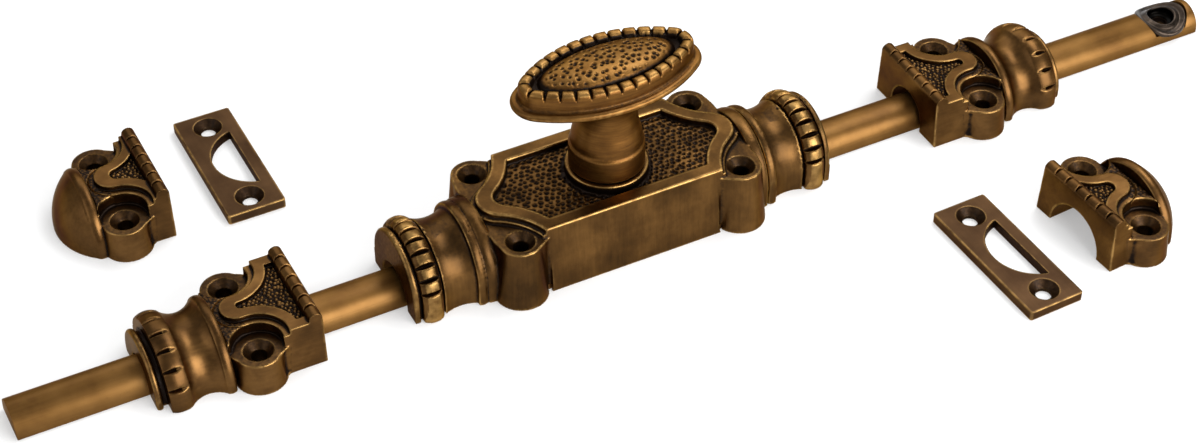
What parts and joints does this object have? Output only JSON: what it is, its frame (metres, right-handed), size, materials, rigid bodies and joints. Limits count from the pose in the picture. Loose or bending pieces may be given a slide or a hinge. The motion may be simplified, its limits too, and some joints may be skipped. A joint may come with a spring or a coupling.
{
  "type": "cremone bolt",
  "caption": "Half-round cremone bolt in antique brass, with a geared oval knob that slides both rods apart, beaded rod guides, closed keepers and flat strike plates.",
  "frame": {"origin": "on the knob's axis, in the plane of the door, at the centre of the gearbox's screw holes", "axes": "+X along the rods towards the top end of the bolt, +Z away from the door along the knob's axis"},
  "size_m": [0.412, 0.1996, 0.0644],
  "materials": {
    "cast_brass": "brushed antique brass with dark patina in the recesses",
    "knob_brass": "brushed antique brass with dark patina in the recesses",
    "rod_brass": "lightly brushed antique brass",
    "plate_brass": "dark brown antique brass with bright edges",
    "steel": "plain machined steel",
    "dark_steel": "blackened steel"
  },
  "bodies": {
    "gearbox": {"gearbox_case": "cast_brass", "back_plate": "plate_brass", "back_plate_screw_1": "steel", "back_plate_screw_2": "steel", "back_plate_screw_3": "steel", "back_plate_screw_4": "steel", "spindle_bush": "rod_brass", "friction_washer": "steel", "top_guide": "cast_brass", "bottom_guide": "cast_brass", "top_keeper": "cast_brass", "bottom_keeper": "cast_brass", "top_strike_plate": "plate_brass", "bottom_strike_plate": "plate_brass"},
    "knob": {"knob": "knob_brass", "spindle": "steel", "pinion": "steel"},
    "top_rod": {"top_rod": "rod_brass", "top_rack": "steel", "top_rod_screw": "steel", "rod_end_washer": "dark_steel"},
    "bottom_rod": {"bottom_rod": "rod_brass", "bottom_rack": "steel", "bottom_rod_screw": "steel"}
  },
  "joints": [
    {"name": "knob_turn", "type": "hinge", "parent": "gearbox", "child": "knob", "pos_m": [0, 0, 0], "axis": [0, 0, 1], "range_deg": [0, 180]},
    {"name": "top_rod_slide", "type": "slide", "parent": "gearbox", "child": "top_rod", "axis": [1, 0, 0], "range_m": [0, 0.02357]},
    {"name": "bottom_rod_slide", "type": "slide", "parent": "gearbox", "child": "bottom_rod", "axis": [-1, 0, 0], "range_m": [0, 0.02357]}
  ],
  "couplings": [
    {"joint": "top_rod_slide", "follows": "knob_turn", "m_per_rad": 0.0075},
    {"joint": "bottom_rod_slide", "follows": "knob_turn", "m_per_rad": 0.0075}
  ]
}
